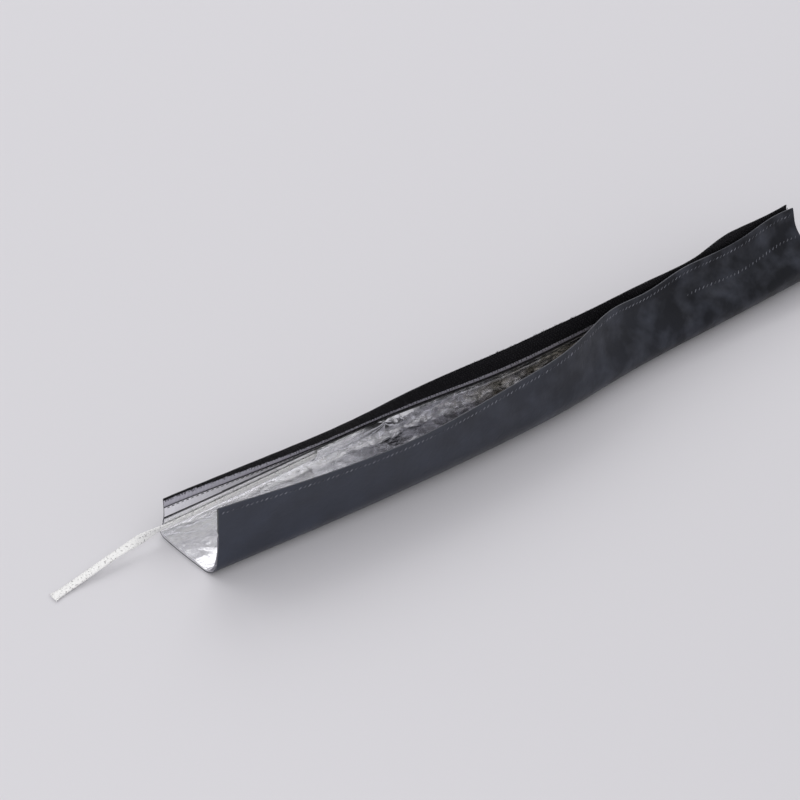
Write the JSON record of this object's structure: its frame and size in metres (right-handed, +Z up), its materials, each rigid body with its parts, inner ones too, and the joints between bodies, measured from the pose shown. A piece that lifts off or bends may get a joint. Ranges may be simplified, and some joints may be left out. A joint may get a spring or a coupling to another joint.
{
  "type": "hook and loop cable sleeve",
  "caption": "Shielded cable sleeve, a foil-lined sheet that closes round cables in a fin of hook and loop tape, open at its mouth, with a braid drain wire.",
  "frame": {"origin": "on the table under the middle of the sleeve's length, in the middle of its flat foot", "axes": "+X along the sleeve from the open mouth to the shut end, +Y across it from the front edge to the back one, +Z up"},
  "size_m": [0.454, 0.0567, 0.0458],
  "materials": {
    "jacket": "black PVC coated sheet, satin",
    "foil": "crinkled bright foil",
    "loop_tape": "woven nylon with a pile of loops",
    "hook_tape": "woven nylon with rows of hooks",
    "braid": "flat braid of tinned copper, bright"
  },
  "bodies": {
    "root": {"jacket": "jacket", "foil_lining": "foil", "loop_tape": "loop_tape", "hook_tape": "hook_tape", "drain_braid": "braid", "braid_tail": "braid"}
  },
  "joints": []
}
